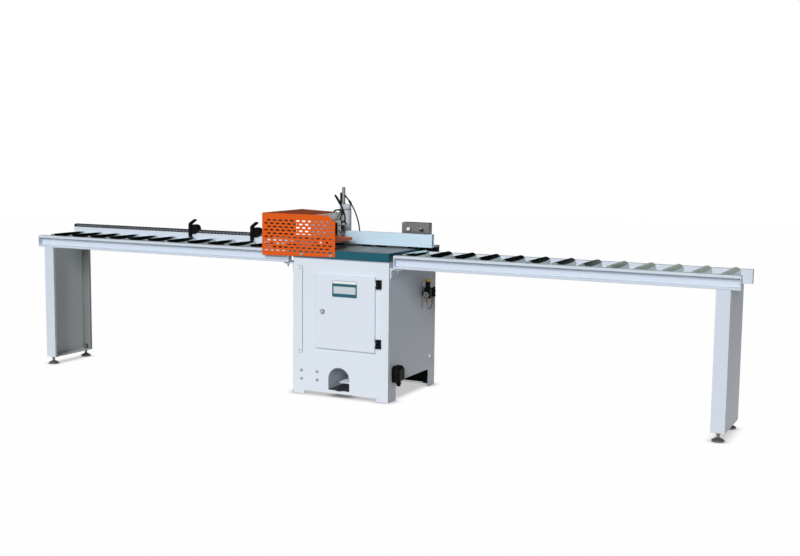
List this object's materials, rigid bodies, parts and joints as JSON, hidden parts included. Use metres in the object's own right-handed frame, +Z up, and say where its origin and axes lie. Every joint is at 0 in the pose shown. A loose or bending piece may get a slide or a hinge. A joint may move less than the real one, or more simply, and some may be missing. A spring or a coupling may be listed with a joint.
{
  "type": "cut-off saw",
  "caption": "Up-cut cut-off saw: cabinet with a table, perforated blade hood, hold-down clamp, fences and length stops, between two long roller tables on end legs.",
  "frame": {"origin": "on the floor, under the middle of the machine", "axes": "+X along the roller tables to the operator's right, +Y from the operator to the back, +Z up"},
  "size_m": [4.34, 0.646, 1.162],
  "materials": {
    "white_paint": "satin enamel",
    "frame_paint": "satin enamel",
    "orange_paint": "satin enamel",
    "table": "planed top, painted edge",
    "fence_aluminium": "anodised",
    "black_plastic": "satin",
    "black_rubber": "matt",
    "zinc_steel": "zinc plated",
    "roller_steel": "turned and polished",
    "blade_steel": "ground",
    "bright_metal": "polished",
    "stainless": "brushed",
    "cast_iron": "as cast, painted",
    "motor_aluminium": "cast",
    "air_plastic": "moulded",
    "button_white": "gloss",
    "button_dark": "gloss"
  },
  "bodies": {
    "base": {"cabinet": "white_paint", "table": "table", "fences": "fence_aluminium", "fence_mounts": "black_plastic", "blade_hood": "orange_paint", "hood_side_plate": "white_paint", "roller_frames": "frame_paint", "levelling_feet": "zinc_steel", "fasteners": "zinc_steel", "feed_cylinder": "motor_aluminium", "air_unit": "air_plastic", "control_box": "stainless", "cabinet_fittings": "black_plastic", "clamp_column": "white_paint", "clamp_hose": "black_rubber"},
    "swing_arm": {"swing_arm": "cast_iron", "motor": "motor_aluminium", "drive_belts": "black_rubber"},
    "arbor": {"arbor_shaft": "blade_steel", "blade": "blade_steel"},
    "motor_rotor": {"motor_pulley": "cast_iron"},
    "feed_rod": {"feed_rod": "bright_metal"},
    "door": {"door": "white_paint"},
    "door_lock": {"door_lock": "bright_metal"},
    "pedal": {"pedal": "cast_iron"},
    "stop_block_1": {"stop_block_1": "black_plastic"},
    "stop_finger_1": {"stop_finger_1": "black_plastic"},
    "stop_block_2": {"stop_block_2": "black_plastic"},
    "stop_finger_2": {"stop_finger_2": "black_plastic"},
    "clamp_foot": {"clamp_foot": "orange_paint"},
    "clamp_lever": {"clamp_lever": "black_plastic"},
    "regulator_knob": {"regulator_knob": "air_plastic"},
    "start_button": {"start_button": "button_white"},
    "stop_button": {"stop_button": "button_dark"},
    "left_roller_01": {"left_roller_01": "roller_steel"},
    "left_roller_02": {"left_roller_02": "roller_steel"},
    "left_roller_03": {"left_roller_03": "roller_steel"},
    "left_roller_04": {"left_roller_04": "roller_steel"},
    "left_roller_05": {"left_roller_05": "roller_steel"},
    "left_roller_06": {"left_roller_06": "roller_steel"},
    "left_roller_07": {"left_roller_07": "roller_steel"},
    "left_roller_08": {"left_roller_08": "roller_steel"},
    "left_roller_09": {"left_roller_09": "roller_steel"},
    "left_roller_10": {"left_roller_10": "roller_steel"},
    "left_roller_11": {"left_roller_11": "roller_steel"},
    "left_roller_12": {"left_roller_12": "roller_steel"},
    "right_roller_01": {"right_roller_01": "roller_steel"},
    "right_roller_02": {"right_roller_02": "roller_steel"},
    "right_roller_03": {"right_roller_03": "roller_steel"},
    "right_roller_04": {"right_roller_04": "roller_steel"},
    "right_roller_05": {"right_roller_05": "roller_steel"},
    "right_roller_06": {"right_roller_06": "roller_steel"},
    "right_roller_07": {"right_roller_07": "roller_steel"},
    "right_roller_08": {"right_roller_08": "roller_steel"},
    "right_roller_09": {"right_roller_09": "roller_steel"},
    "right_roller_10": {"right_roller_10": "roller_steel"},
    "right_roller_11": {"right_roller_11": "roller_steel"},
    "right_roller_12": {"right_roller_12": "roller_steel"},
    "right_roller_13": {"right_roller_13": "roller_steel"}
  },
  "joints": [
    {"name": "arm_swing", "type": "hinge", "parent": "base", "child": "swing_arm", "pos_m": [0, 0.2295, 0.6], "axis": [-1, 0, 0], "range_deg": [0, 31.7]},
    {"name": "feed_slide", "type": "slide", "parent": "base", "child": "feed_rod", "axis": [0, 0, 1], "range_m": [0, 0.1039]},
    {"name": "blade_spin", "type": "hinge", "parent": "swing_arm", "child": "arbor", "pos_m": [-0.15, -0.0305, 0.545], "axis": [1, 0, 0], "continuous": true},
    {"name": "motor_spin", "type": "hinge", "parent": "swing_arm", "child": "motor_rotor", "pos_m": [-0.05, 0.1295, 0.36], "axis": [1, 0, 0], "continuous": true},
    {"name": "door_hinge", "type": "hinge", "parent": "base", "child": "door", "pos_m": [0.232, -0.3075, 0.489], "axis": [0, 0, 1], "range_deg": [0, 110]},
    {"name": "lock_turn", "type": "hinge", "parent": "door", "child": "door_lock", "pos_m": [-0.104, -0.3175, 0.484], "axis": [0, -1, 0], "range_deg": [0, 90]},
    {"name": "pedal_press", "type": "hinge", "parent": "base", "child": "pedal", "pos_m": [-0.007, -0.0925, 0.066], "axis": [1, 0, 0], "range_deg": [0, 10], "stiffness_Nm_per_rad": 6, "springref_deg": -17.19},
    {"name": "clamp_press", "type": "slide", "parent": "base", "child": "clamp_foot", "axis": [0, 0, -1], "range_m": [0, 0.036], "stiffness_N_per_m": 600, "springref_m": -0.1},
    {"name": "lever_swing", "type": "hinge", "parent": "base", "child": "clamp_lever", "pos_m": [-0.127, -0.014, 0.955], "axis": [0, 1, 0], "range_deg": [0, 25]},
    {"name": "stop_slide_1", "type": "slide", "parent": "base", "child": "stop_block_1", "axis": [1, 0, 0], "range_m": [-0.888, 0.192]},
    {"name": "stop_flip_1", "type": "hinge", "parent": "stop_block_1", "child": "stop_finger_1", "pos_m": [-1.2385, 0.0375, 0.8855], "axis": [-1, 0, 0], "range_deg": [0, 100]},
    {"name": "stop_slide_2", "type": "slide", "parent": "base", "child": "stop_block_2", "axis": [1, 0, 0], "range_m": [-0.17, 0.2]},
    {"name": "stop_flip_2", "type": "hinge", "parent": "stop_block_2", "child": "stop_finger_2", "pos_m": [-0.7845, 0.0375, 0.8855], "axis": [-1, 0, 0], "range_deg": [0, 100]},
    {"name": "regulator_turn", "type": "hinge", "parent": "base", "child": "regulator_knob", "pos_m": [0.341, 0.1265, 0.61], "axis": [0, 0, 1], "range_deg": [-180, 180]},
    {"name": "start_press", "type": "slide", "parent": "base", "child": "start_button", "axis": [0, 1, 0], "range_m": [0, 0.004], "stiffness_N_per_m": 500, "springref_m": -0.002},
    {"name": "stop_press", "type": "slide", "parent": "base", "child": "stop_button", "axis": [0, 1, 0], "range_m": [0, 0.004], "stiffness_N_per_m": 500, "springref_m": -0.002},
    {"name": "left_roller_01_spin", "type": "hinge", "parent": "base", "child": "left_roller_01", "pos_m": [-0.478, -0.13, 0.803], "axis": [0, 1, 0], "continuous": true},
    {"name": "left_roller_02_spin", "type": "hinge", "parent": "base", "child": "left_roller_02", "pos_m": [-0.62436, -0.13, 0.803], "axis": [0, 1, 0], "continuous": true},
    {"name": "left_roller_03_spin", "type": "hinge", "parent": "base", "child": "left_roller_03", "pos_m": [-0.77073, -0.13, 0.803], "axis": [0, 1, 0], "continuous": true},
    {"name": "left_roller_04_spin", "type": "hinge", "parent": "base", "child": "left_roller_04", "pos_m": [-0.91709, -0.13, 0.803], "axis": [0, 1, 0], "continuous": true},
    {"name": "left_roller_05_spin", "type": "hinge", "parent": "base", "child": "left_roller_05", "pos_m": [-1.06345, -0.13, 0.803], "axis": [0, 1, 0], "continuous": true},
    {"name": "left_roller_06_spin", "type": "hinge", "parent": "base", "child": "left_roller_06", "pos_m": [-1.20982, -0.13, 0.803], "axis": [0, 1, 0], "continuous": true},
    {"name": "left_roller_07_spin", "type": "hinge", "parent": "base", "child": "left_roller_07", "pos_m": [-1.35618, -0.13, 0.803], "axis": [0, 1, 0], "continuous": true},
    {"name": "left_roller_08_spin", "type": "hinge", "parent": "base", "child": "left_roller_08", "pos_m": [-1.50255, -0.13, 0.803], "axis": [0, 1, 0], "continuous": true},
    {"name": "left_roller_09_spin", "type": "hinge", "parent": "base", "child": "left_roller_09", "pos_m": [-1.64891, -0.13, 0.803], "axis": [0, 1, 0], "continuous": true},
    {"name": "left_roller_10_spin", "type": "hinge", "parent": "base", "child": "left_roller_10", "pos_m": [-1.79527, -0.13, 0.803], "axis": [0, 1, 0], "continuous": true},
    {"name": "left_roller_11_spin", "type": "hinge", "parent": "base", "child": "left_roller_11", "pos_m": [-1.94164, -0.13, 0.803], "axis": [0, 1, 0], "continuous": true},
    {"name": "left_roller_12_spin", "type": "hinge", "parent": "base", "child": "left_roller_12", "pos_m": [-2.088, -0.13, 0.803], "axis": [0, 1, 0], "continuous": true},
    {"name": "right_roller_01_spin", "type": "hinge", "parent": "base", "child": "right_roller_01", "pos_m": [0.378, -0.13, 0.803], "axis": [0, 1, 0], "continuous": true},
    {"name": "right_roller_02_spin", "type": "hinge", "parent": "base", "child": "right_roller_02", "pos_m": [0.5205, -0.13, 0.803], "axis": [0, 1, 0], "continuous": true},
    {"name": "right_roller_03_spin", "type": "hinge", "parent": "base", "child": "right_roller_03", "pos_m": [0.663, -0.13, 0.803], "axis": [0, 1, 0], "continuous": true},
    {"name": "right_roller_04_spin", "type": "hinge", "parent": "base", "child": "right_roller_04", "pos_m": [0.8055, -0.13, 0.803], "axis": [0, 1, 0], "continuous": true},
    {"name": "right_roller_05_spin", "type": "hinge", "parent": "base", "child": "right_roller_05", "pos_m": [0.948, -0.13, 0.803], "axis": [0, 1, 0], "continuous": true},
    {"name": "right_roller_06_spin", "type": "hinge", "parent": "base", "child": "right_roller_06", "pos_m": [1.0905, -0.13, 0.803], "axis": [0, 1, 0], "continuous": true},
    {"name": "right_roller_07_spin", "type": "hinge", "parent": "base", "child": "right_roller_07", "pos_m": [1.233, -0.13, 0.803], "axis": [0, 1, 0], "continuous": true},
    {"name": "right_roller_08_spin", "type": "hinge", "parent": "base", "child": "right_roller_08", "pos_m": [1.3755, -0.13, 0.803], "axis": [0, 1, 0], "continuous": true},
    {"name": "right_roller_09_spin", "type": "hinge", "parent": "base", "child": "right_roller_09", "pos_m": [1.518, -0.13, 0.803], "axis": [0, 1, 0], "continuous": true},
    {"name": "right_roller_10_spin", "type": "hinge", "parent": "base", "child": "right_roller_10", "pos_m": [1.6605, -0.13, 0.803], "axis": [0, 1, 0], "continuous": true},
    {"name": "right_roller_11_spin", "type": "hinge", "parent": "base", "child": "right_roller_11", "pos_m": [1.803, -0.13, 0.803], "axis": [0, 1, 0], "continuous": true},
    {"name": "right_roller_12_spin", "type": "hinge", "parent": "base", "child": "right_roller_12", "pos_m": [1.9455, -0.13, 0.803], "axis": [0, 1, 0], "continuous": true},
    {"name": "right_roller_13_spin", "type": "hinge", "parent": "base", "child": "right_roller_13", "pos_m": [2.088, -0.13, 0.803], "axis": [0, 1, 0], "continuous": true}
  ],
  "couplings": [
    {"joint": "feed_slide", "follows": "arm_swing", "m_per_rad": 0.18759},
    {"joint": "motor_spin", "follows": "blade_spin", "ratio": 0.75}
  ]
}
